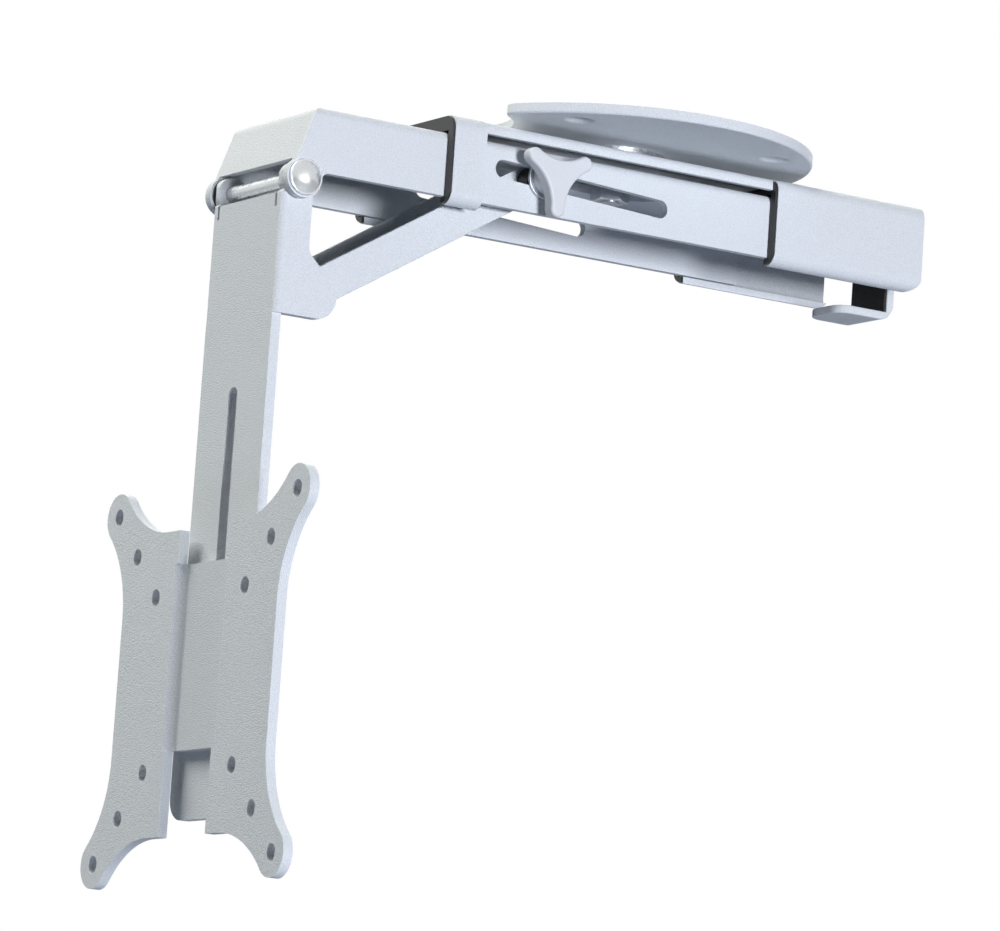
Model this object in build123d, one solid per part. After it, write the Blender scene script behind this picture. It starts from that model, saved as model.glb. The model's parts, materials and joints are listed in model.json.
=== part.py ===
from build123d import *
import math
import os

# Flip-down screen mount that hangs under a cabinet. Millimetres, +Z up.
# The origin is the centre of the cabinet plate's top face, on the swivel axis.
# The rail runs along Y with the hinge at its front (-Y), and the knob is on +X.

# Cabinet plate
plate_radius = 59.0
plate_thickness = 3.0
plate_rim_fillet = 0.8
screw_circle_radius = 48.5
screw_hole_count = 4
screw_hole_diameter = 5.0
countersink_diameter = 9.6
countersink_depth = 1.5
notch_radius = 27.0
notch_depth = 19.0
notch_corner_radius = 5.0

# Swivel bolt and what is stacked on it
swivel_bolt_diameter = 6.0
swivel_head_diameter = 13.0
swivel_head_height = 1.8
swivel_head_recess = 0.1
spacer_radius = 16.0
spacer_height = 2.9
swivel_washer_diameter = 16.0
friction_washer_thickness = 1.5
swivel_washer_thickness = 1.5
swivel_nut_width = 10.0
swivel_nut_height = 6.0
swivel_bolt_tail = 0.3

# Outer channel: collar, windowed middle and rear housing
channel_width = 52.0
channel_height = 26.0
channel_sheet = 2.0
channel_corner_radius = 4.0
channel_lip = 4.5
collar_front = 70.5
collar_length = 10.7
housing_start = 42.3
channel_rear = 96.0
window_strip = 3.5
strip_recess = 2.0
strip_corner_radius = 2.5
rear_corner_radius = 4.0

# Black liners on which the rail runs
glide_top = 2.6
glide_side = 0.7
glide_clearance = 0.3
rear_glide_length = 15.0
glide_flange = 0.8
glide_flange_inset = 0.3

# Parking hook behind the channel, and its pad
hook_sheet = 2.5
hook_width = 17.6
hook_gap = 0.4
hook_strap_length = 18.0
hook_lip_length = 17.3
hook_bend_radius = 5.0
hook_corner_radius = 5.0
hook_clearance = 0.3
pad_gap = 2.3
fold_rise = 0.4
pad_thickness = 1.0
pad_height = 16.0
pad_inset = 0.3

# Inner rail
rail_sheet = 2.5
rail_corner_radius = 3.0
rail_engagement = 18.9
nose_lean = 19.7
nose_bend_radius = 4.0
nose_corner_radius = 0.8
nose_foot_ahead = 3.0
nose_foot_rise = 5.4
slot_start = 8.0
slot_drop = 7.8
slot_length = 54.6
slot_fall = 2.94
nut_way_front = 42.0
nut_way_rear = 18.0
nut_way_clearance = 1.0

# Hinge between the rail and the arm
hinge_reach = 117.2
hinge_drop = 2.3
hinge_pin_diameter = 5.0
hinge_lobe_radius = 5.7
hinge_lobe_fillet = 2.0
hinge_bush_thickness = 0.8
hinge_bush_diameter = 9.6
hinge_washer_thickness = 1.2
hinge_washer_diameter = 10.4
dome_diameter = 9.2
dome_height = 2.0

# Swing arm
arm_sheet = 3.0
arm_offset = 4.8
arm_length = 180.3
arm_bend_radius = 1.8
arm_tip_radius = 6.6
arm_web_drop = 4.1
ear_radius = 5.0
ear_shoulder = 1.2
gusset_top_drop = 20.0
gusset_radius = 6.3
gusset_corner_radius = 4.0
relief_width = 1.2
relief_depth = 4.0
arm_slot_length = 97.0
slot_below_studs = 7.0

# Strut and its lower pivot
pivot_back = 8.7
pivot_drop = 32.3
strut_sheet = 2.0
strut_depth = 10.5
strut_end = 4.7
strut_end_radius = 4.8
strut_skew = 0.82
strut_axis_rise = 0.8
strut_gap = 1.7
strut_web_cutback = 9.0
rivet_diameter = 6.0
rivet_head_diameter = 8.4
rivet_head_height = 0.1

# Lock bolt and three-lobed knob
lock_rest = 14.3
lock_bolt_diameter = 5.0
lock_slot_clearance = 0.2
lock_head_diameter = 11.0
lock_head_height = 3.0
lock_spacer_diameter = 9.0
lock_washer_diameter = 12.0
lock_washer_thickness = 1.2
knob_hub_diameter = 9.4
knob_hub_length = 2.7
knob_thickness = 4.4
knob_lobe_distance = 9.7
knob_lobe_radius = 2.3
knob_waist = 4.8
knob_edge_fillet = 0.9
insert_diameter = 7.6
insert_length = 5.6
insert_wall_end = 1.0

# Screen bracket
bracket_drop = 142.1
bracket_sheet = 3.0
bracket_core = 43.5
bracket_lobe_radius = 6.9
bracket_blend_start = 20.0
bracket_inner_edge = 13.3
web_top = 34.0
web_bottom = 19.0
web_bend_radius = 1.4
screen_squares = (100.0, 75.0, 50.0)
screen_hole_diameter = 5.0

# Studs that clamp the bracket in the arm's slot
stud_diameter = 5.0
stud_top = 20.0
stud_spacing = 26.0
stud_slot_clearance = 0.1
stud_tail = 0.3
clamp_washer_diameter = 12.0
clamp_washer_thickness = 1.0
clamp_nut_width = 8.0
clamp_nut_height = 3.5

# Fits
running_clearance = 0.05
face_clearance = 0.1

# Heights down from the cabinet
channel_top = -(plate_thickness + spacer_height)
channel_bottom = channel_top - channel_height
channel_ceiling = channel_top - channel_sheet
lip_top = channel_bottom + channel_sheet
rail_bottom = lip_top + glide_clearance
rail_top = channel_ceiling - glide_top - glide_clearance
washer_top = channel_ceiling - friction_washer_thickness
nut_top = washer_top - swivel_washer_thickness
nut_bottom = nut_top - swivel_nut_height

# Half widths out from the middle plane
channel_inner = channel_width / 2 - channel_sheet
rail_outer = channel_inner - glide_side - glide_clearance
rail_inner = rail_outer - rail_sheet
ear_outer = rail_inner - hinge_bush_thickness
ear_inner = ear_outer - arm_sheet
blade_half = ear_outer - ear_shoulder
strut_outer = ear_inner - strut_gap
strut_inner = strut_outer - strut_sheet

# Places along the rail
window_front = -collar_front + collar_length
rail_rear = housing_start + rail_engagement
hinge_y = -hinge_reach
hinge_z = rail_bottom - hinge_drop
nose_foot_y = hinge_y - nose_foot_ahead
nose_foot_z = hinge_z + nose_foot_rise
nose_slope = math.tan(math.radians(nose_lean))

# The arm, its lower pivot and the lock bolt's place in the slot
arm_front = hinge_y - arm_offset
arm_back = arm_front + arm_sheet
arm_tip = hinge_z - arm_length
arm_top = hinge_z - arm_web_drop
ear_rear = hinge_y + ear_radius
pivot_y = hinge_y + pivot_back
pivot_z = hinge_z - pivot_drop
slot_front_y = window_front + slot_start
slot_front_z = rail_top - slot_drop
slot_angle = math.radians(-slot_fall)
lock_y = slot_front_y + lock_rest * math.cos(slot_angle)
lock_z = slot_front_z + lock_rest * math.sin(slot_angle)
lock_slot_width = lock_bolt_diameter + 2 * lock_slot_clearance

# The bracket in front of the arm
web_front = arm_front - bracket_sheet
wing_front = web_front - bracket_sheet
bracket_z = hinge_z - bracket_drop
stud_heights = [bracket_z + stud_top, bracket_z + stud_top - stud_spacing]
arm_slot_top = hinge_z - stud_heights[1] + slot_below_studs - arm_slot_length


def outline(points):
    """Flat face inside a closed run of straight edges."""
    return make_face(Polyline(*points, close=True))


def across(face, x_from, x_to):
    """Side view face (y, z) made solid between two x places."""
    return extrude(Plane.YZ.offset(x_from) * face, amount=x_to - x_from)


def along(face, y_from, y_to):
    """End view face (x, z) made solid between two y places."""
    return extrude(Plane.XZ.offset(-y_to) * face, amount=y_to - y_from)


def upward(face, z_from, z_to):
    """Plan view face (x, y) made solid between two z places."""
    return extrude(Plane.XY.offset(z_from) * face, amount=z_to - z_from)


def ring(outer, bore):
    """Flat ring about the origin of its view."""
    return Circle(outer / 2) - Circle(bore / 2)


def running(diameter):
    """Bore in which a pin of this diameter turns."""
    return diameter + 2 * running_clearance


def hex_nut(width, height, bore):
    """Hexagon nut standing on z = 0, with its corners turned off at both ends."""
    corner = width / math.sqrt(3)
    bevel = corner - width / 2
    turned = Cylinder(corner, height, align=(Align.CENTER, Align.CENTER, Align.MIN))
    turned = chamfer(turned.edges().filter_by(GeomType.CIRCLE), bevel * 0.6, bevel)
    flats = RegularPolygon(width / 2, 6, major_radius=False)
    return (upward(flats, 0, height) & turned) - upward(Circle(bore / 2), 0, height)


def dome(diameter, height):
    """Domed head on the plane x = 0, bulging towards +X."""
    rim = diameter / 2
    ball = (rim ** 2 + height ** 2) / (2 * height)
    half_turn = math.atan2(rim, ball - height) / 2
    shoulder = (height - ball + ball * math.cos(half_turn), ball * math.sin(half_turn))
    section = make_face([
        Line((0, 0), (0, rim)),
        ThreePointArc((0, rim), shoulder, (height, 0)),
        Line((height, 0), (0, 0)),
    ])
    return revolve(section, Axis.X)


def mirrored_pair(piece):
    """The piece on +X together with its twin on -X."""
    return piece + mirror(piece, about=Plane.YZ)


# Cabinet plate and swivel


def swivel_head(clearance):
    """Low cone of the swivel bolt's head, grown by a clearance."""
    top = swivel_head_diameter / 2 + clearance
    neck = swivel_bolt_diameter / 2 + clearance
    cone = Cone(neck, top, swivel_head_height, align=(Align.CENTER, Align.CENTER, Align.MAX))
    return Pos(0, 0, -swivel_head_recess) * cone


def cabinet_plate():
    notch = Pos(0, notch_depth - plate_radius - notch_radius) * Circle(notch_radius)
    face = Circle(plate_radius) - notch
    face = fillet(face.vertices(), notch_corner_radius)
    plate = upward(face, -plate_thickness, 0)
    rim = plate.faces().sort_by(Axis.Z)[0].edges()
    plate = fillet(rim, plate_rim_fillet)
    sink = Cone(
        countersink_diameter / 2,
        screw_hole_diameter / 2,
        countersink_depth,
        align=(Align.CENTER, Align.CENTER, Align.MIN),
    )
    hole = upward(Circle(screw_hole_diameter / 2), -plate_thickness, 0)
    hole += Pos(0, 0, -plate_thickness) * sink
    for place in PolarLocations(screw_circle_radius, screw_hole_count, 45):
        plate -= place * hole
    plate -= upward(Circle(running(swivel_bolt_diameter) / 2), -plate_thickness, 0)
    head_room = swivel_head(running_clearance)
    above = upward(Circle(swivel_head_diameter / 2 + running_clearance), -swivel_head_recess, 0)
    return plate - head_room - above


def swivel_bolt():
    head_bottom = -swivel_head_recess - swivel_head_height
    shank = upward(Circle(swivel_bolt_diameter / 2), nut_bottom - swivel_bolt_tail, head_bottom)
    return shank + swivel_head(0)


def swivel_spacer():
    return upward(ring(2 * spacer_radius, running(swivel_bolt_diameter)), channel_top, -plate_thickness)


def swivel_friction_washer():
    return upward(ring(swivel_washer_diameter, running(swivel_bolt_diameter)), washer_top, channel_ceiling)


def swivel_washer():
    return upward(ring(swivel_washer_diameter, running(swivel_bolt_diameter)), nut_top, washer_top)


def swivel_nut():
    nut = hex_nut(swivel_nut_width, swivel_nut_height, running(swivel_bolt_diameter))
    return Pos(0, 0, nut_bottom) * nut


# Channel, glides and hook


def channel_cavity():
    """End view of the space inside the channel's sheet."""
    height = channel_height - 2 * channel_sheet
    radius = channel_corner_radius - channel_sheet
    middle = (channel_ceiling + lip_top) / 2
    return Pos(0, middle) * RectangleRounded(2 * channel_inner, height, radius)


def channel_skin(inset):
    """End view of the channel's outside, moved inwards by an inset."""
    width = channel_width - 2 * inset
    height = channel_height - 2 * inset
    middle = (channel_top + channel_bottom) / 2
    return Pos(0, middle) * RectangleRounded(width, height, channel_corner_radius - inset)


def channel_mouth():
    """End view of the opening between the channel's lips."""
    return Pos(0, channel_bottom) * Rectangle(channel_width - 2 * channel_lip, 3 * channel_sheet)


def end_block(half, z_from, z_to):
    """End view rectangle about the middle plane between two heights."""
    return outline([(-half, z_from), (half, z_from), (half, z_to), (-half, z_to)])


strip_outer = channel_width / 2 - strip_recess
strip_foot = channel_top - window_strip


def outer_channel():
    ends = channel_skin(0) - channel_cavity() - channel_mouth()
    strip = end_block(strip_outer, strip_foot, channel_top)
    strip = fillet(strip.vertices().group_by(Axis.Y)[-1], strip_corner_radius)
    strip -= end_block(strip_outer - channel_sheet, strip_foot, channel_ceiling)
    channel = along(strip, window_front, housing_start)
    channel += along(ends, -collar_front, window_front)
    channel += along(ends, housing_start, channel_rear)
    corner = outline([
        (channel_rear - rear_corner_radius, channel_bottom),
        (channel_rear, channel_bottom),
        (channel_rear, channel_bottom + rear_corner_radius),
    ])
    rounding = Pos(channel_rear - rear_corner_radius, channel_bottom + rear_corner_radius)
    channel -= across(corner - rounding * Circle(rear_corner_radius), -channel_width, channel_width)
    bolt_hole = Circle(running(swivel_bolt_diameter) / 2)
    return channel - upward(bolt_hole, channel_ceiling - channel_sheet, channel_top)


def glide_passage(z_from):
    """End view of the way through a glide, from a height up to its roof."""
    return end_block(rail_outer + glide_clearance, z_from, rail_top + glide_clearance)


def glide(y_from, y_to):
    """U-shaped liner between the channel's sheet and the rail."""
    return along(channel_cavity() - glide_passage(channel_bottom), y_from, y_to)


def glide_edge():
    """End view of a glide's flange, which covers the edge of the channel's sheet."""
    return channel_skin(glide_flange_inset) - glide_passage(lip_top) - channel_mouth()


def front_glide():
    flange = along(glide_edge(), -collar_front - glide_flange, -collar_front)
    return flange + glide(-collar_front, window_front)


def rear_glide():
    strip_room = end_block(strip_outer + face_clearance, strip_foot - face_clearance, channel_top)
    flange = along(glide_edge() - strip_room, housing_start - glide_flange, housing_start)
    return flange + glide(housing_start, housing_start + rear_glide_length)


upright_front = channel_rear + hook_gap
upright_back = upright_front + hook_sheet
lip_end = upright_front - hook_lip_length
parked_hinge_y = upright_front - pad_thickness - pad_gap - arm_length
parked_rise = (lip_end - parked_hinge_y) * math.tan(math.radians(fold_rise))
hook_lip_top = hinge_z - arm_offset + parked_rise - hook_clearance
hook_lip_bottom = hook_lip_top - hook_sheet


def parking_hook():
    strap_end = upright_front - hook_strap_length
    strip = outline([
        (strap_end, channel_ceiling),
        (upright_back, channel_ceiling),
        (upright_back, hook_lip_bottom),
        (lip_end, hook_lip_bottom),
        (lip_end, hook_lip_top),
        (upright_front, hook_lip_top),
        (upright_front, channel_ceiling - hook_sheet),
        (strap_end, channel_ceiling - hook_sheet),
    ])
    outside = strip.vertices().filter_by(lambda v: v.X > upright_back - running_clearance)
    strip = fillet(outside, hook_bend_radius)
    hook = across(strip, -hook_width / 2, hook_width / 2)
    tips = hook.edges().filter_by(Axis.Z)
    tips = tips.filter_by(lambda e: abs(e.center().Y - lip_end) < running_clearance)
    return fillet(tips, hook_corner_radius)


def hook_pad():
    half = hook_width / 2 - pad_inset
    front = upright_front - pad_thickness
    face = outline([(-half, front), (half, front), (half, upright_front), (-half, upright_front)])
    return upward(face, hook_lip_top, hook_lip_top + pad_height)


# Inner rail and hinge


def nose_outline(inset):
    """Side view of the rail above its lower edge, moved inwards by an inset."""
    shift = inset / math.cos(math.radians(nose_lean))
    roof = rail_top - inset
    floor = rail_bottom
    front_low = nose_foot_y + shift + (floor - nose_foot_z) * nose_slope
    front_high = nose_foot_y + shift + (roof - nose_foot_z) * nose_slope
    face = outline([(front_low, floor), (rail_rear, floor), (rail_rear, roof), (front_high, roof)])
    bend = face.vertices().group_by(Axis.Y)[-1].sort_by(Axis.X)[0]
    return fillet(bend, nose_bend_radius - inset)


def rail_shell(inset):
    """Rail block with its long top corners and the nose's corners rounded."""
    half = rail_outer - inset
    block = across(nose_outline(inset), -half, half)
    roof = rail_top - inset
    section = end_block(half, rail_bottom, roof)
    section = fillet(section.vertices().group_by(Axis.Y)[-1], rail_corner_radius - inset)
    block &= along(section, nose_foot_y - hinge_reach, rail_rear)
    lean = Plane(
        origin=(0, nose_foot_y + inset / math.cos(math.radians(nose_lean)), nose_foot_z),
        x_dir=(1, 0, 0),
        z_dir=(0, nose_slope, 1),
    )
    reach = rail_rear - nose_foot_y
    plan = Pos(0, reach) * RectangleRounded(2 * half, 2 * reach, nose_corner_radius)
    return block & extrude(lean * plan, amount=reach, both=True)


def side_slot(width):
    """Side view of the long slot in which the lock bolt slides."""
    slot = SlotCenterToCenter(slot_length, width, rotation=-slot_fall)
    middle_y = slot_front_y + slot_length / 2 * math.cos(slot_angle)
    middle_z = slot_front_z + slot_length / 2 * math.sin(slot_angle)
    return Pos(middle_y, middle_z) * slot


def hinge_lobe():
    """Side view of the round lobe at the front of the rail's side wall."""
    rear = hinge_y + hinge_lobe_radius
    web = outline([
        (hinge_y, hinge_z),
        (rear, hinge_z),
        (rear, rail_bottom),
        (rear + 2 * hinge_lobe_radius, rail_bottom),
        (rear + 2 * hinge_lobe_radius, nose_foot_z),
        (hinge_y, nose_foot_z),
    ])
    inside = web.vertices().filter_by(lambda v: abs(v.X - rear) < running_clearance).sort_by(Axis.Y)[-1]
    return fillet(inside, hinge_lobe_fillet) + Pos(hinge_y, hinge_z) * Circle(hinge_lobe_radius)


def inner_rail():
    rail = rail_shell(0) - rail_shell(rail_sheet)
    front_gap = outline([
        (nose_foot_y - hinge_reach, nose_foot_z),
        (rail_rear, nose_foot_z),
        (rail_rear, rail_bottom - rail_sheet),
        (nose_foot_y - hinge_reach, rail_bottom - rail_sheet),
    ])
    rail -= across(front_gap, -rail_inner, rail_inner)
    rail += mirrored_pair(across(hinge_lobe(), rail_inner, rail_outer))
    pin_hole = Pos(hinge_y, hinge_z) * Circle(running(hinge_pin_diameter) / 2)
    rail -= across(pin_hole + side_slot(lock_slot_width), -rail_outer, rail_outer)
    way_width = swivel_washer_diameter + 2 * nut_way_clearance
    way = RectangleRounded(way_width, nut_way_front + nut_way_rear, way_width / 2 - running_clearance)
    way = Pos(0, (nut_way_rear - nut_way_front) / 2) * way
    return rail - upward(way, rail_top - 2 * rail_sheet, rail_top)


def hinge_ring(diameter, x_from, x_to):
    """Washer about the hinge axis between two x places."""
    return across(Pos(hinge_y, hinge_z) * ring(diameter, running(hinge_pin_diameter)), x_from, x_to)


dome_base = rail_outer + hinge_washer_thickness
cap_depth = dome_height / 2


def hinge_pin():
    shank = Pos(hinge_y, hinge_z) * Circle(hinge_pin_diameter / 2)
    head = mirror(Pos(dome_base, hinge_y, hinge_z) * dome(dome_diameter, dome_height), about=Plane.YZ)
    return across(shank, -dome_base, dome_base + cap_depth) + head


def hinge_cap():
    bore = Pos(hinge_y, hinge_z) * Circle(running(hinge_pin_diameter) / 2)
    cap = Pos(dome_base, hinge_y, hinge_z) * dome(dome_diameter, dome_height)
    return cap - across(bore, dome_base, dome_base + cap_depth)


def hinge_washers():
    return mirrored_pair(hinge_ring(hinge_washer_diameter, rail_outer, dome_base))


def hinge_bushes():
    return mirrored_pair(hinge_ring(hinge_bush_diameter, ear_outer + face_clearance, rail_inner))


# Swing arm, strut and rivets


def ear_outline():
    """Side view of an ear: round top, straight back and the gusset round the strut's pivot."""
    corner_z = hinge_z - gusset_top_drop
    back = ear_rear - pivot_y
    rise = corner_z - pivot_z
    turn = math.atan2(rise, back) - math.acos(gusset_radius / math.hypot(back, rise))
    blade = outline([
        (arm_front, pivot_z - gusset_radius),
        (pivot_y, pivot_z - gusset_radius),
        (pivot_y, pivot_z),
        (pivot_y + gusset_radius * math.cos(turn), pivot_z + gusset_radius * math.sin(turn)),
        (ear_rear, corner_z),
        (ear_rear, hinge_z),
        (hinge_y, hinge_z),
        (arm_front, arm_top),
    ])
    inside = blade.vertices().sort_by_distance((ear_rear, corner_z))[0]
    blade = fillet(inside, gusset_corner_radius)
    gusset = Pos(pivot_y, pivot_z) * Circle(gusset_radius)
    return blade + gusset + Pos(hinge_y, hinge_z) * Circle(ear_radius)


def swing_arm():
    reach = pivot_y + 2 * gusset_radius - arm_front
    top = hinge_z + 2 * ear_radius
    ear_foot = pivot_z - gusset_radius
    skin = Pos(0, arm_front + reach) * RectangleRounded(2 * ear_outer, 2 * reach, arm_bend_radius)
    inside = Pos(0, arm_back + reach) * Rectangle(2 * ear_inner, 2 * reach)
    arm = upward(skin - inside, ear_foot, top) & across(ear_outline(), -ear_outer, ear_outer)
    above_web = Pos(0, arm_front) * Rectangle(2 * ear_inner, 4 * arm_sheet)
    arm -= upward(above_web, arm_top, top)
    relief = Pos(ear_inner - relief_width / 2, arm_front) * Rectangle(relief_width, 4 * arm_sheet)
    arm -= mirrored_pair(upward(relief, arm_top - relief_depth, arm_top))
    blade = outline([
        (-blade_half, arm_tip),
        (blade_half, arm_tip),
        (blade_half, ear_foot),
        (-blade_half, ear_foot),
    ])
    blade = fillet(blade.vertices().group_by(Axis.Y)[0], arm_tip_radius)
    arm += along(blade, arm_front, arm_back)
    slot_width = stud_diameter + 2 * stud_slot_clearance
    slot_top = hinge_z - arm_slot_top
    slot = Pos(0, slot_top - arm_slot_length / 2) * SlotOverall(arm_slot_length, slot_width, rotation=90)
    arm -= along(slot, arm_front, arm_back)
    pin_hole = Pos(hinge_y, hinge_z) * Circle(running(hinge_pin_diameter) / 2)
    rivet_hole = Pos(pivot_y, pivot_z) * Circle(running(rivet_diameter) / 2)
    return arm - across(pin_hole + rivet_hole, -ear_outer, ear_outer)


def strut():
    run_y = lock_y - pivot_y
    run_z = lock_z - pivot_z
    hole_run = math.hypot(run_y, run_z)
    lean = math.degrees(math.atan2(run_z, run_y)) - strut_skew
    middle = Pos((lock_y + pivot_y) / 2, (lock_z + pivot_z) / 2) * Rot(0, 0, lean) * Pos(0, strut_axis_rise)
    lock_end = hole_run / 2 * math.cos(math.radians(strut_skew))
    length = 2 * (lock_end + strut_end)
    skin = middle * RectangleRounded(length, strut_depth, strut_end_radius)
    inside = middle * Pos(0, strut_sheet) * Rectangle(2 * length, strut_depth)
    body = across(skin, -strut_outer, strut_outer) - across(inside, -strut_inner, strut_inner)
    for end in (-lock_end, lock_end):
        open_end = middle * Pos(end, 0) * Rectangle(2 * strut_web_cutback, 2 * strut_depth)
        body -= across(open_end, -strut_inner, strut_inner)
    lock_hole = Pos(lock_y, lock_z) * Circle(running(lock_bolt_diameter) / 2)
    pivot_hole = Pos(pivot_y, pivot_z) * Circle(running(rivet_diameter) / 2)
    return body - mirrored_pair(across(lock_hole + pivot_hole, strut_inner, strut_outer))


def strut_rivets():
    place = Pos(pivot_y, pivot_z)
    shank = across(place * Circle(rivet_diameter / 2), ear_inner, ear_outer)
    head = across(place * Circle(rivet_head_diameter / 2), ear_outer, ear_outer + rivet_head_height)
    rim = head.faces().sort_by(Axis.X)[-1].edges()
    return mirrored_pair(shank + chamfer(rim, rivet_head_height / 2))


# Lock bolt and knob


hub_face = rail_outer + lock_washer_thickness + face_clearance
knob_back = hub_face + knob_hub_length
knob_front = knob_back + knob_thickness
lock_place = Pos(lock_y, lock_z)


def lock_ring(diameter, x_from, x_to):
    """Washer or sleeve on the lock bolt between two x places."""
    return across(lock_place * ring(diameter, running(lock_bolt_diameter)), x_from, x_to)


def lock_bolt():
    head_face = rail_outer + face_clearance
    shank_end = hub_face + insert_length - insert_wall_end
    shank = across(lock_place * Circle(lock_bolt_diameter / 2), -head_face, shank_end)
    head = Pos(head_face, lock_y, lock_z) * dome(lock_head_diameter, lock_head_height)
    return shank + mirror(head, about=Plane.YZ)


def lock_spacers():
    inner_end = strut_outer + face_clearance
    outer_end = rail_inner - face_clearance
    return mirrored_pair(lock_ring(lock_spacer_diameter, inner_end, outer_end))


def lock_washer():
    return lock_ring(lock_washer_diameter, rail_outer, rail_outer + lock_washer_thickness)


def knob_face():
    """Three round lobes joined by hollow flanks, one lobe pointing down."""
    ahead = knob_lobe_distance ** 2 + knob_waist ** 2 - knob_lobe_distance * knob_waist
    flank = (ahead - knob_lobe_radius ** 2) / (2 * knob_lobe_radius - 2 * knob_waist + knob_lobe_distance)
    hollow_distance = flank + knob_waist
    lobes = [Vector(0, -knob_lobe_distance).rotate(Axis.Z, turn) for turn in (0, 120, 240)]
    hollows = [Vector(0, -hollow_distance).rotate(Axis.Z, turn) for turn in (60, 180, 300)]
    touches = []
    for index, lobe in enumerate(lobes):
        for hollow in (hollows[index - 1], hollows[index]):
            touches.append(lobe + (hollow - lobe).normalized() * knob_lobe_radius)
    face = outline(touches)
    for lobe in lobes:
        face += Pos(lobe.X, lobe.Y) * Circle(knob_lobe_radius)
    for hollow in hollows:
        face -= Pos(hollow.X, hollow.Y) * Circle(flank)
    return face


def lock_knob():
    grip = across(lock_place * knob_face(), knob_back, knob_front)
    ends = grip.faces().filter_by(Axis.X).edges()
    grip = fillet(ends, knob_edge_fillet)
    hub = across(lock_place * Circle(knob_hub_diameter / 2), hub_face, knob_back + knob_edge_fillet)
    pocket = across(lock_place * Circle(insert_diameter / 2), hub_face, hub_face + insert_length)
    return grip + hub - pocket


def knob_insert():
    body = across(lock_place * Circle(insert_diameter / 2), hub_face, hub_face + insert_length)
    bore = across(
        lock_place * Circle(running(lock_bolt_diameter) / 2),
        hub_face,
        hub_face + insert_length - insert_wall_end + face_clearance,
    )
    return body - bore


# Screen bracket and its clamp


def screen_places():
    """Middle points of the screen holes in the bracket's front view."""
    places = []
    for square in screen_squares:
        for side in (-1, 1):
            for level in (-1, 1):
                places.append((side * square / 2, bracket_z + level * square / 2))
    return places


def wing_face():
    """Front view of the flat bracket: square core with a round lobe blended on at each corner."""
    corner = max(screen_squares) / 2
    run = corner - bracket_blend_start
    step = corner - bracket_core
    blend = (run ** 2 + step ** 2 - bracket_lobe_radius ** 2) / (2 * (bracket_lobe_radius + step))
    hub = bracket_core + blend
    lobe = Vector(corner, corner)
    side_touch = lobe + (Vector(hub, bracket_blend_start) - lobe).normalized() * bracket_lobe_radius
    top_touch = lobe + (Vector(bracket_blend_start, hub) - lobe).normalized() * bracket_lobe_radius
    tip = corner + bracket_lobe_radius * math.sqrt(0.5)
    quarter = make_face([
        Line((0, 0), (bracket_core, 0)),
        Line((bracket_core, 0), (bracket_core, bracket_blend_start)),
        RadiusArc((bracket_core, bracket_blend_start), (side_touch.X, side_touch.Y), blend),
        ThreePointArc((side_touch.X, side_touch.Y), (tip, tip), (top_touch.X, top_touch.Y)),
        RadiusArc((top_touch.X, top_touch.Y), (bracket_blend_start, bracket_core), blend),
        Line((bracket_blend_start, bracket_core), (0, bracket_core)),
        Line((0, bracket_core), (0, 0)),
    ])
    half = quarter + mirror(quarter, about=Plane.XZ)
    return Pos(0, bracket_z) * (half + mirror(half, about=Plane.YZ))


def web_face():
    """Plan view of the set-back web with its two slanting bends into the wings."""
    root = 2 * bracket_inner_edge
    high = bracket_inner_edge + bracket_sheet / 2
    low = bracket_inner_edge - bracket_sheet / 2
    half = [
        (root, wing_front),
        (high, wing_front),
        (low, web_front),
        (-low, web_front),
        (-high, wing_front),
        (-root, wing_front),
        (-root, web_front),
        (-high, web_front),
        (-low, arm_front),
        (low, arm_front),
        (high, web_front),
        (root, web_front),
    ]
    face = outline(half)
    bends = face.vertices().filter_by(lambda v: abs(v.X) < root - running_clearance)
    return fillet(bends, web_bend_radius)


def screen_bracket():
    gap = Pos(0, bracket_z) * Rectangle(2 * bracket_inner_edge, 4 * bracket_core)
    bracket = along(wing_face() - gap, wing_front, web_front)
    band_low = bracket_z - web_bottom
    band_high = bracket_z + web_top
    band = Pos(0, wing_front) * Rectangle(4 * bracket_inner_edge, 4 * bracket_sheet)
    bracket -= upward(band, band_low, band_high)
    bracket += upward(web_face(), band_low, band_high)
    for x, z in screen_places():
        bracket -= along(Pos(x, z) * Circle(screen_hole_diameter / 2), wing_front, web_front)
    for z in stud_heights:
        bracket -= along(Pos(0, z) * Circle(running(stud_diameter) / 2), web_front, arm_front)
    return bracket


washer_back = arm_back + clamp_washer_thickness
clamp_nut_back = washer_back + clamp_nut_height


def bracket_studs():
    studs = [
        along(Pos(0, z) * Circle(stud_diameter / 2), web_front, clamp_nut_back + stud_tail)
        for z in stud_heights
    ]
    return studs[0] + studs[1]


def clamp_washers():
    washer = ring(clamp_washer_diameter, running(stud_diameter))
    rings = [along(Pos(0, z) * washer, arm_back + face_clearance, washer_back) for z in stud_heights]
    return rings[0] + rings[1]


def clamp_nuts():
    nut = Rot(-90, 0, 0) * hex_nut(clamp_nut_width, clamp_nut_height, running(stud_diameter))
    nuts = [Pos(0, washer_back, z) * nut for z in stud_heights]
    return nuts[0] + nuts[1]


makers = [
    cabinet_plate,
    swivel_bolt,
    swivel_spacer,
    swivel_friction_washer,
    swivel_washer,
    swivel_nut,
    outer_channel,
    front_glide,
    rear_glide,
    parking_hook,
    hook_pad,
    inner_rail,
    hinge_pin,
    hinge_cap,
    hinge_washers,
    hinge_bushes,
    swing_arm,
    strut,
    strut_rivets,
    lock_bolt,
    lock_spacers,
    lock_washer,
    lock_knob,
    knob_insert,
    screen_bracket,
    bracket_studs,
    clamp_washers,
    clamp_nuts,
]

os.makedirs("parts", exist_ok=True)
for maker in makers:
    export_step(maker(), f"parts/{maker.__name__}.step")
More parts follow.
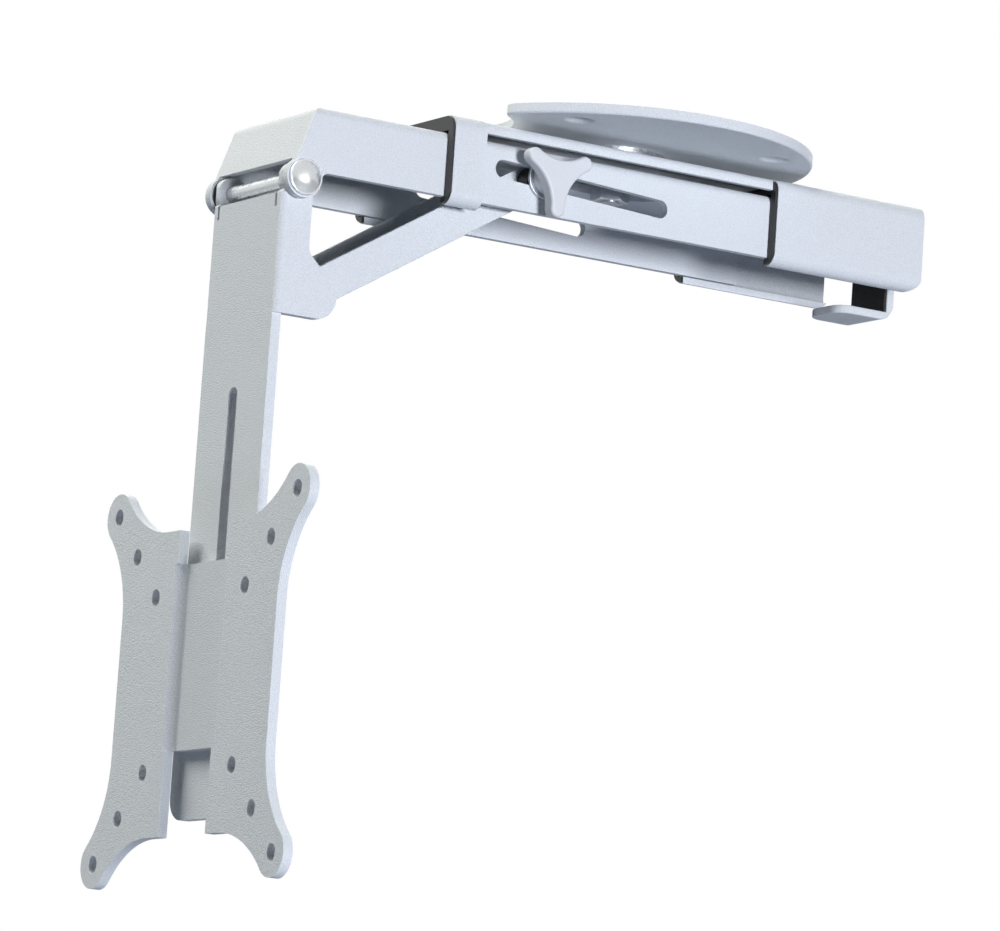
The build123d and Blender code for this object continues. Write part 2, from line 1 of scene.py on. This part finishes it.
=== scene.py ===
# %% [markdown]
# A flip-down screen mount, dressed for its picture.
# The solid model comes in as a fixed frame: every sheet, bolt and washer already sits where it
# belongs, in metres. This lesson adds only what a drawing leaves out: the softened edges of bent
# sheet under a coat of powder paint, and the finishes that the eye reads as steel, zinc, nickel,
# rubber and moulded plastic.

# %% Load the solid model
import json
import math

import bpy
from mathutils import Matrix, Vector

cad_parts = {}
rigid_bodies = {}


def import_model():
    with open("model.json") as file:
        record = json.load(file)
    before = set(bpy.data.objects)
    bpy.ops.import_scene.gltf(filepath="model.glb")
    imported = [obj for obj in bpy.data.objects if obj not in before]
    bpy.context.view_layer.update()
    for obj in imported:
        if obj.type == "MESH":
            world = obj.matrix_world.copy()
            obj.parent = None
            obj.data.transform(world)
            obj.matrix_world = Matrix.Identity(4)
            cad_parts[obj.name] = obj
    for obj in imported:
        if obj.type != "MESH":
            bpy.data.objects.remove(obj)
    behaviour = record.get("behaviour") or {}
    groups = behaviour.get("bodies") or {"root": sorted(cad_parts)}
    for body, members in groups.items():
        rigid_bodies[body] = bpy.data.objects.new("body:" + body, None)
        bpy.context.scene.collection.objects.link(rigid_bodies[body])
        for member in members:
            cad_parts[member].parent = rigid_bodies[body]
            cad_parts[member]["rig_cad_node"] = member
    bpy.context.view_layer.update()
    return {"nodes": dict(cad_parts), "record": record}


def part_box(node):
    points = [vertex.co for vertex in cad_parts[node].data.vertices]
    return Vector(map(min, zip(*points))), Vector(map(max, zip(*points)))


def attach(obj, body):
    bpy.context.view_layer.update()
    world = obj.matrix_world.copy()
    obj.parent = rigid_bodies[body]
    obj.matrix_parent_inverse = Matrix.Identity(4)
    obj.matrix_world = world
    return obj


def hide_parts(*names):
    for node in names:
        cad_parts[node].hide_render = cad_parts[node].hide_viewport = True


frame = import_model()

body_of = {}
for body, members in frame["record"]["behaviour"]["bodies"].items():
    for member in members:
        body_of[member] = body

# %% [markdown]
# The camera.
# A long lens looks from the right and a little from below, because the underside is what explains
# a thing that hangs from a shelf. A camera can be moved by eye until the view looks right. Here its
# place and turn were solved from the twelve holes of the screen bracket, whose squares are 100,
# 75 and 50 mm wide, so nothing had to be tried out by eye.

# %% Camera
sensor_width_mm = 36.0
lens_mm = 212.56
camera_place = (1.43065, -0.93222, -0.35662)
camera_turn_degrees = (98.6579, -3.8731, 57.2216)

bpy.ops.object.select_all(action="DESELECT")
camera_turn = [math.radians(angle) for angle in camera_turn_degrees]
bpy.ops.object.camera_add(location=camera_place, rotation=camera_turn)
camera = bpy.context.active_object
camera.data.sensor_width = sensor_width_mm
camera.data.lens = lens_mm
bpy.context.scene.camera = camera
print("camera at", camera_place, "with a", lens_mm, "mm lens")

# %% [markdown]
# Small helpers for every finish.
# Colours are written as the hex values that a paint chart or a picture editor gives. Shaders work
# in linear light, so one function converts them. A second one adds a shader node with its
# settings, its values and its links in one call, which keeps each finish short enough to read as
# a list. A third turns the real size of a pattern into the scale that a texture asks for.


# %% Helpers for finishes
def linear(hex_colour):
    channels = [int(hex_colour[i:i + 2], 16) / 255 for i in (1, 3, 5)]
    curve = [c / 12.92 if c <= 0.04045 else ((c + 0.055) / 1.055) ** 2.4 for c in channels]
    return (*curve, 1.0)


def add(tree, kind, settings=None, values=None, links=None):
    node = tree.nodes.new(kind)
    for name, setting in (settings or {}).items():
        setattr(node, name, setting)
    for name, value in (values or {}).items():
        node.inputs[name].default_value = value
    for name, output in (links or {}).items():
        tree.links.new(output, node.inputs[name])
    return node


def per_metre(size_mm):
    return 1000.0 / size_mm


# %% [markdown]
# The studio.
# The object hangs in front of pure white, as catalogue pictures do. Strong lamps on a white wall
# would give that too, but they would bleach the paint. So the world is white where the camera, a
# reflection or a see-through ray meets it, and nearly dark where it lights the paint, which keeps
# the hollows of the channel dark. A small soft box on the right, level with the object's lower end,
# lights the side faces. A large one high in front and to the left lights the arm, the bracket and
# the slanted nose, and a weak one behind keeps the back readable.


# %% What is seen directly
def seen_directly(tree):
    path = add(tree, "ShaderNodeLightPath")
    seen = path.outputs["Is Camera Ray"]
    for kind in ("Is Glossy Ray", "Is Transmission Ray"):
        either = add(tree, "ShaderNodeMath", {"operation": "MAXIMUM"}, links={
            0: seen, 1: path.outputs[kind]})
        seen = either.outputs[0]
    return seen


# %% World
ambient_level = 0.01

world = bpy.data.worlds.new("white_studio")
bpy.context.scene.world = world
world.use_nodes = True
tree = world.node_tree
tree.nodes.clear()
level = add(tree, "ShaderNodeMapRange", values={"To Min": ambient_level, "To Max": 1.0}, links={
    "Value": seen_directly(tree)})
white = add(tree, "ShaderNodeBackground", values={"Color": linear("#FFFFFF")}, links={
    "Strength": level.outputs[0]})
add(tree, "ShaderNodeOutputWorld", links={"Surface": white.outputs[0]})
print("world lights the paint at", ambient_level)

# %% Soft boxes
object_middle = Vector((0.0, -0.02, -0.09))
# Name, place in metres, width and height in metres, watts and tint.
soft_boxes = [
    ("side_box", (2.03, -0.16, -0.23), (0.45, 0.38), 45.5, "#F3F6FF"),
    ("front_box", (-0.78, -1.13, 1.52), (1.4, 1.4), 59.5, "#FEFFFA"),
    ("back_box", (-1.60, 1.30, 0.80), (1.4, 1.4), 20.0, "#FFFFFF"),
]
for name, place, (width, height), watts, tint in soft_boxes:
    bpy.ops.object.light_add(type="AREA", location=place)
    lamp = bpy.context.active_object
    lamp.name = name
    lamp.data.shape = "RECTANGLE"
    lamp.data.size = width
    lamp.data.size_y = height
    lamp.data.energy = watts
    lamp.data.color = linear(tint)[:3]
    lamp.rotation_euler = (object_middle - Vector(place)).to_track_quat("-Z", "Y").to_euler()
    print(name, watts, "W")

# %% [markdown]
# The floor.
# A pale sheet of backdrop paper lies well below the object and sends a little bluish light back up
# to the undersides. Lamps alone would leave it bright in the middle and grey towards its far end.
# It therefore glows where the camera sees it, and what the lamps add on top can still carry
# a faint shadow.

# %% Floor
floor_height = -1.50
floor_width = 60.0
floor_seen = "#9A9DA2"
floor_bounce = "#96A0B4"
floor_glow = 0.60
floor_roughness = 0.9

bpy.ops.object.select_all(action="DESELECT")
bpy.ops.mesh.primitive_plane_add(size=floor_width, location=(0, 0, floor_height))
floor = bpy.context.active_object
floor.name = "studio_floor"
paper = bpy.data.materials.new("pale_backdrop_paper")
paper.use_nodes = True
tree = paper.node_tree
paper_shader = tree.nodes["Principled BSDF"]
paper_shader.inputs["Roughness"].default_value = floor_roughness
paper_shader.inputs["Emission Color"].default_value = linear("#FFFFFF")
seen = seen_directly(tree)
tone = add(tree, "ShaderNodeMix", {"data_type": "RGBA"}, {
    "A": linear(floor_bounce), "B": linear(floor_seen)}, {"Factor": seen})
glow = add(tree, "ShaderNodeMath", {"operation": "MULTIPLY"}, {1: floor_glow}, {0: seen})
tree.links.new(tone.outputs["Result"], paper_shader.inputs["Base Color"])
tree.links.new(glow.outputs[0], paper_shader.inputs["Emission Strength"])
floor.data.materials.append(paper)
print("floor at", floor_height, "m")

# %% [markdown]
# Powder coat.
# The sheet steel is sprayed with dry polyester powder in silver grey and baked. The melted grains
# leave a fine pebbled skin. A picture of a paint sample could be wrapped round each sheet, but it
# would stretch at every bend. Noise in the object's own space needs no wrapping and has the same
# grain on every sheet. One noise makes the specks, in colour and as bump, and a slow one makes the
# uneven gloss of a hand-sprayed coat.


# %% Powder coat
def new_finish(name):
    finish = bpy.data.materials.new(name)
    finish.use_nodes = True
    shader = finish.node_tree.nodes["Principled BSDF"]
    space = add(finish.node_tree, "ShaderNodeTexCoord")
    return finish, finish.node_tree, shader, space.outputs["Object"]


# Real specks are finer, and only some hundredths of a millimetre high. They would not show at the
# size of the picture, so they are drawn this coarse and this high.
speck_size_mm = 0.36
speck_height_mm = 0.28
speck_low, speck_high = 0.34, 0.66
cloud_size_mm = 38.0
coat_dark = "#CED2D5"
coat_light = "#DEE2E5"
coat_smooth, coat_rough = 0.46, 0.62
coat_shine = 0.2

# Satin silver-grey paint: a soft broad sheen, broken up by specks on faces that the light grazes.
powder, tree, shader, space = new_finish("silver_powder_coat")
specks = add(tree, "ShaderNodeTexNoise", values={
    "Scale": per_metre(speck_size_mm), "Detail": 2.0, "Roughness": 0.6}, links={"Vector": space})
clouds = add(tree, "ShaderNodeTexNoise", values={
    "Scale": per_metre(cloud_size_mm), "Detail": 2.0}, links={"Vector": space})
contrast = add(tree, "ShaderNodeMapRange", values={
    "From Min": speck_low, "From Max": speck_high}, links={"Value": specks.outputs["Fac"]})
colour = add(tree, "ShaderNodeMix", {"data_type": "RGBA"}, {
    "A": linear(coat_dark), "B": linear(coat_light)}, {"Factor": contrast.outputs[0]})
gloss = add(tree, "ShaderNodeMapRange", values={
    "To Min": coat_smooth, "To Max": coat_rough}, links={"Value": clouds.outputs["Fac"]})
pebble = add(tree, "ShaderNodeBump", values={
    "Strength": 1.0, "Distance": speck_height_mm / 1000}, links={"Height": specks.outputs["Fac"]})
tree.links.new(colour.outputs["Result"], shader.inputs["Base Color"])
tree.links.new(gloss.outputs[0], shader.inputs["Roughness"])
tree.links.new(pebble.outputs[0], shader.inputs["Normal"])
shader.inputs["Specular IOR Level"].default_value = coat_shine
print("made", powder.name)

# %% [markdown]
# The metals.
# The hinge rod, its domes and washers are polished and nickel plated: nearly a mirror, dulled by
# fine rubbing marks. Bolts, nuts, studs and their washers are zinc plated, which is greyer and
# softer, with a faint blue cast. The knob's insert is turned brass. One flat colour with one
# roughness would look like chrome from a toy box, so a fine noise varies both. Only its values set
# the three apart, and one function makes them all.

# %% Nickel, zinc and brass
grain_low, grain_high = 0.3, 0.7


def grained(name, light, dark, smooth, rough, grain_mm, depth_mm, detail, relief, metallic):
    finish, tree, shader, space = new_finish(name)
    grain = add(tree, "ShaderNodeTexNoise", values={
        "Scale": per_metre(grain_mm), "Detail": detail}, links={"Vector": space})
    colour = add(tree, "ShaderNodeMix", {"data_type": "RGBA"}, {
        "A": linear(light), "B": linear(dark)}, {"Factor": grain.outputs["Fac"]})
    gloss = add(tree, "ShaderNodeMapRange", values={
        "From Min": grain_low, "From Max": grain_high, "To Min": smooth, "To Max": rough}, links={
        "Value": grain.outputs["Fac"]})
    marks = add(tree, "ShaderNodeBump", values={
        "Strength": relief, "Distance": depth_mm / 1000}, links={"Height": grain.outputs["Fac"]})
    tree.links.new(colour.outputs["Result"], shader.inputs["Base Color"])
    tree.links.new(gloss.outputs[0], shader.inputs["Roughness"])
    tree.links.new(marks.outputs[0], shader.inputs["Normal"])
    shader.inputs["Metallic"].default_value = metallic
    print("made", name)
    return finish


# Name, light and dark colour, least and most roughness, grain width and depth in millimetres.
# The grain is drawn coarser than real marks, which would not show at the size of the picture.
metal_kinds = [
    # Clear highlights with soft ends on the rod and the domes.
    ("bright_nickel_plate", "#D8DBDD", "#C2C6C9", 0.20, 0.36, 1.6, 0.02),
    # A greyer, cooler and blurred gleam on bolts and nuts.
    ("clear_zinc_plate", "#C3C7CC", "#A7ACB3", 0.26, 0.42, 1.1, 0.03),
    # Warm yellow metal, out of sight inside the knob as long as the knob is on.
    ("turned_brass", "#C6A25A", "#A98543", 0.24, 0.38, 0.9, 0.02),
]
metals = {}
for kind in metal_kinds:
    metals[kind[0]] = grained(*kind, detail=4.0, relief=0.2, metallic=1.0)

# %% [markdown]
# Plastics and rubber.
# The glides, bushes and spacers are black acetal, moulded smooth and a little waxy. The hook's pad
# is cut from rubber sheet and hardly shines. The knob is pale grey nylon with the fine matt texture
# of a spark-eroded mould. They could each have a network of their own, but the recipe of the metals
# fits them too, with other colours, gloss and grain and without the metal.

# %% Plastics and rubber
# The same columns as for the metals, with the grain drawn coarser for the same reason.
plastic_kinds = [
    # Deep black with a dull waxy gleam along its edges.
    ("black_acetal", "#1A1B1E", "#121316", 0.34, 0.46, 0.9, 0.03),
    # Black that swallows nearly all light.
    ("black_rubber_sheet", "#1B1B1B", "#111111", 0.72, 0.86, 0.6, 0.08),
    # Pale grey with a soft sheen and no clear reflections.
    ("pale_grey_nylon", "#D5D8DA", "#C7CACD", 0.40, 0.52, 0.45, 0.04),
]
plastics = {}
for kind in plastic_kinds:
    plastics[kind[0]] = grained(*kind, detail=3.0, relief=0.25, metallic=0.0)

# %% [markdown]
# Each node gets its finish.
# On the real mount the sheets are painted, the hinge is nickel plated, the fasteners are zinc
# plated, and the glides are plastic. Finishes could be assigned node by node, but the record
# already says which slot every node belongs to. They are handed out by slot, so that no node is
# forgotten.

# %% Hand out the finishes
finish_of_slot = {
    "powder_coat": powder,
    "bright_steel": metals["bright_nickel_plate"],
    "zinc_steel": metals["clear_zinc_plate"],
    "brass_insert": metals["turned_brass"],
    "black_plastic": plastics["black_acetal"],
    "black_rubber": plastics["black_rubber_sheet"],
    "pale_plastic": plastics["pale_grey_nylon"],
}
slot_of = {entry["node"]: entry["material_slot"] for entry in frame["record"]["subparts"]}
for node, piece in frame["nodes"].items():
    piece.data.materials.clear()
    piece.data.materials.append(finish_of_slot[slot_of[node]])
print("finished", len(slot_of), "nodes")

# %% [markdown]
# Bores under the paint.
# The rivets in the arm's ears and the studs in the bracket's web are pressed in before the sheets
# are sprayed, and the powder runs over them, so nothing shows of the bores they fill. To hold
# the strut, real rivets have to fill its lower bores too. In the solid model they stop short of it,
# which leaves those bores open. A disc could be laid over each bore, but its rim would show.
# Instead the walls of the bore are deleted in the copy of the sheet, and each open ring is filled
# level with the sheet's face.


# %% A bore that the paint covers
def cover_bore(piece, axis, centres, reach_mm):
    sides = [side for side in range(3) if side != axis]

    def near(index):
        point = piece.data.vertices[index].co
        spot = [point[i] for i in sides]
        gaps = [math.dist(spot, [centre[i] for i in sides]) for centre in centres]
        return min(gaps) < reach_mm / 1000

    for face in piece.data.polygons:
        face.select = all(near(index) for index in face.vertices)
    walls = sum(face.select for face in piece.data.polygons)
    bpy.ops.object.mode_set(mode="EDIT")
    bpy.ops.mesh.delete(type="FACE")
    bpy.ops.object.mode_set(mode="OBJECT")
    for edge in piece.data.edges:
        edge.select = all(near(index) for index in edge.vertices)
    bpy.ops.object.mode_set(mode="EDIT")
    bpy.ops.mesh.fill_holes(sides=0)
    bpy.ops.object.mode_set(mode="OBJECT")
    print(piece.name, "lost", walls, "bore walls")


# %% [markdown]
# Softened edges.
# Punched and bent sheet never ends in a knife edge: the punch rolls one edge over, and the baked
# powder draws back from corners and rounds them. That small radius catches the light as a thin pale
# line, and without it a render looks like cardboard. A shader can fake the line, but the fake stays
# behind when the mesh is exported. So each piece is copied from its solid, its loose triangles are
# merged, its flat faces are joined up, and a narrow bevel goes round every sharp edge.

# %% Soften one piece
merge_gap_mm = 0.002
flat_within_degrees = 0.5
sharp_from_degrees = 40
smooth_to_degrees = 50
flat_weight = 100


def softened(node, radius_mm, steps, bore=None):
    bpy.ops.object.select_all(action="DESELECT")
    source = frame["nodes"][node]
    source.select_set(True)
    bpy.context.view_layer.objects.active = source
    bpy.ops.object.duplicate()
    piece = bpy.context.active_object
    piece.name = node + "_soft"
    del piece["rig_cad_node"]
    bpy.ops.mesh.customdata_custom_splitnormals_clear()
    bpy.ops.object.mode_set(mode="EDIT")
    bpy.ops.mesh.select_all(action="SELECT")
    bpy.ops.mesh.remove_doubles(threshold=merge_gap_mm / 1000)
    bpy.ops.mesh.select_all(action="DESELECT")
    bpy.ops.object.mode_set(mode="OBJECT")
    if bore:
        cover_bore(piece, *bore)
    bpy.ops.object.mode_set(mode="EDIT")
    bpy.ops.mesh.select_all(action="SELECT")
    bpy.ops.mesh.normals_make_consistent(inside=False)
    bpy.ops.mesh.dissolve_limited(angle_limit=math.radians(flat_within_degrees))
    bpy.ops.object.mode_set(mode="OBJECT")
    edge = piece.modifiers.new("soft_edge", "BEVEL")
    edge.width = radius_mm / 1000
    edge.segments = steps
    edge.limit_method = "ANGLE"
    edge.angle_limit = math.radians(sharp_from_degrees)
    bpy.ops.object.modifier_apply(modifier=edge.name)
    bpy.ops.object.shade_smooth_by_angle(angle=math.radians(smooth_to_degrees))
    flats = piece.modifiers.new("flat_faces", "WEIGHTED_NORMAL")
    flats.weight = flat_weight
    flats.keep_sharp = True
    bpy.ops.object.modifier_apply(modifier=flats.name)
    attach(piece, body_of[node])
    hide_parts(node)
    print(piece.name, len(piece.data.polygons), "faces")
    return piece


# %% Soften the sheets, the knob, the pad and the fasteners
rivet_low, rivet_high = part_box("strut_rivets")
rivet_centre = [(low + high) / 2 for low, high in zip(rivet_low, rivet_high)]
stud_low, stud_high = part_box("bracket_studs")
stud_radius = (stud_high[0] - stud_low[0]) / 2
stud_centres = [(0.0, 0.0, stud_high[2] - stud_radius), (0.0, 0.0, stud_low[2] + stud_radius)]
x_axis, y_axis = 0, 1
# Each reach ends just past the wall of its bore.
rivet_reach_mm = 3.6
stud_reach_mm = 3.0
rivet_bore = (x_axis, [rivet_centre], rivet_reach_mm)
stud_bore = (y_axis, stud_centres, stud_reach_mm)

# Node, edge radius in millimetres, steps across the radius, and the bore to cover.
softened_nodes = [
    ("cabinet_plate", 0.45, 3, None),
    ("outer_channel", 0.35, 2, None),
    ("parking_hook", 0.40, 2, None),
    ("inner_rail", 0.35, 2, None),
    ("swing_arm", 0.40, 2, rivet_bore),
    ("strut", 0.35, 2, rivet_bore),
    ("screen_bracket", 0.45, 3, stud_bore),
    ("lock_knob", 0.90, 3, None),
    ("hook_pad", 0.25, 2, None),
    ("hinge_washers", 0.25, 2, None),
    ("lock_washer", 0.25, 2, None),
    ("lock_bolt", 0.40, 2, None),
    ("swivel_washer", 0.25, 2, None),
    ("swivel_nut", 0.35, 2, None),
    ("clamp_washers", 0.20, 2, None),
    ("clamp_nuts", 0.35, 2, None),
]
for node, radius_mm, steps, bore in softened_nodes:
    softened(node, radius_mm, steps, bore)

# %% [markdown]
# The hidden ends of studs and rivets.
# On the real mount paint covers these ends. Their solids end flush with the sheet, or a tenth of a
# millimetre proud of it, and two faces in one place turn black in a render. The sheet could be
# lifted over them, but that would change the sheet. So the hidden ends are drawn back into the
# metal, and the rivets' inner ends come out of the arm's ears as low heads.

# %% Draw the hidden ends back into the sheet
hidden_by_mm = 0.8
rivet_head_mm = 0.3
# In metres, farther out than any point of these pieces.
past_the_end = 1.0


def shift(piece, axis, low, high, step_mm):
    bpy.ops.object.select_all(action="DESELECT")
    piece.select_set(True)
    bpy.context.view_layer.objects.active = piece
    bpy.ops.object.mode_set(mode="EDIT")
    bpy.ops.mesh.select_all(action="DESELECT")
    bpy.ops.object.mode_set(mode="OBJECT")
    for vertex in piece.data.vertices:
        vertex.select = low < vertex.co[axis] < high
    moved = sum(vertex.select for vertex in piece.data.vertices)
    offset = [0.0, 0.0, 0.0]
    offset[axis] = step_mm / 1000
    bpy.ops.object.mode_set(mode="EDIT")
    bpy.ops.transform.translate(value=offset)
    bpy.ops.object.mode_set(mode="OBJECT")
    print(piece.name, "moved", moved, "points by", step_mm, "mm")


studs = softened("bracket_studs", radius_mm=0.40, steps=2)
stud_middle = (stud_low[1] + stud_high[1]) / 2
shift(studs, y_axis, -past_the_end, stud_middle, hidden_by_mm)
rivets = softened("strut_rivets", radius_mm=0.20, steps=2)
ear_middle = (rivet_high[0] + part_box("strut")[1][0]) / 2
for side in (-1, 1):
    outer_end = sorted((side * ear_middle, side * past_the_end))
    inner_end = sorted((0.0, side * ear_middle))
    shift(rivets, x_axis, *outer_end, -side * hidden_by_mm)
    shift(rivets, x_axis, *inner_end, -side * rivet_head_mm)

# %% [markdown]
# Colour management.
# A view with a film curve would calm the highlights, but it would also turn the white background
# grey. The plain Standard view shows a colour about as it is written.

# %% Finish
bpy.context.scene.view_settings.view_transform = "Standard"
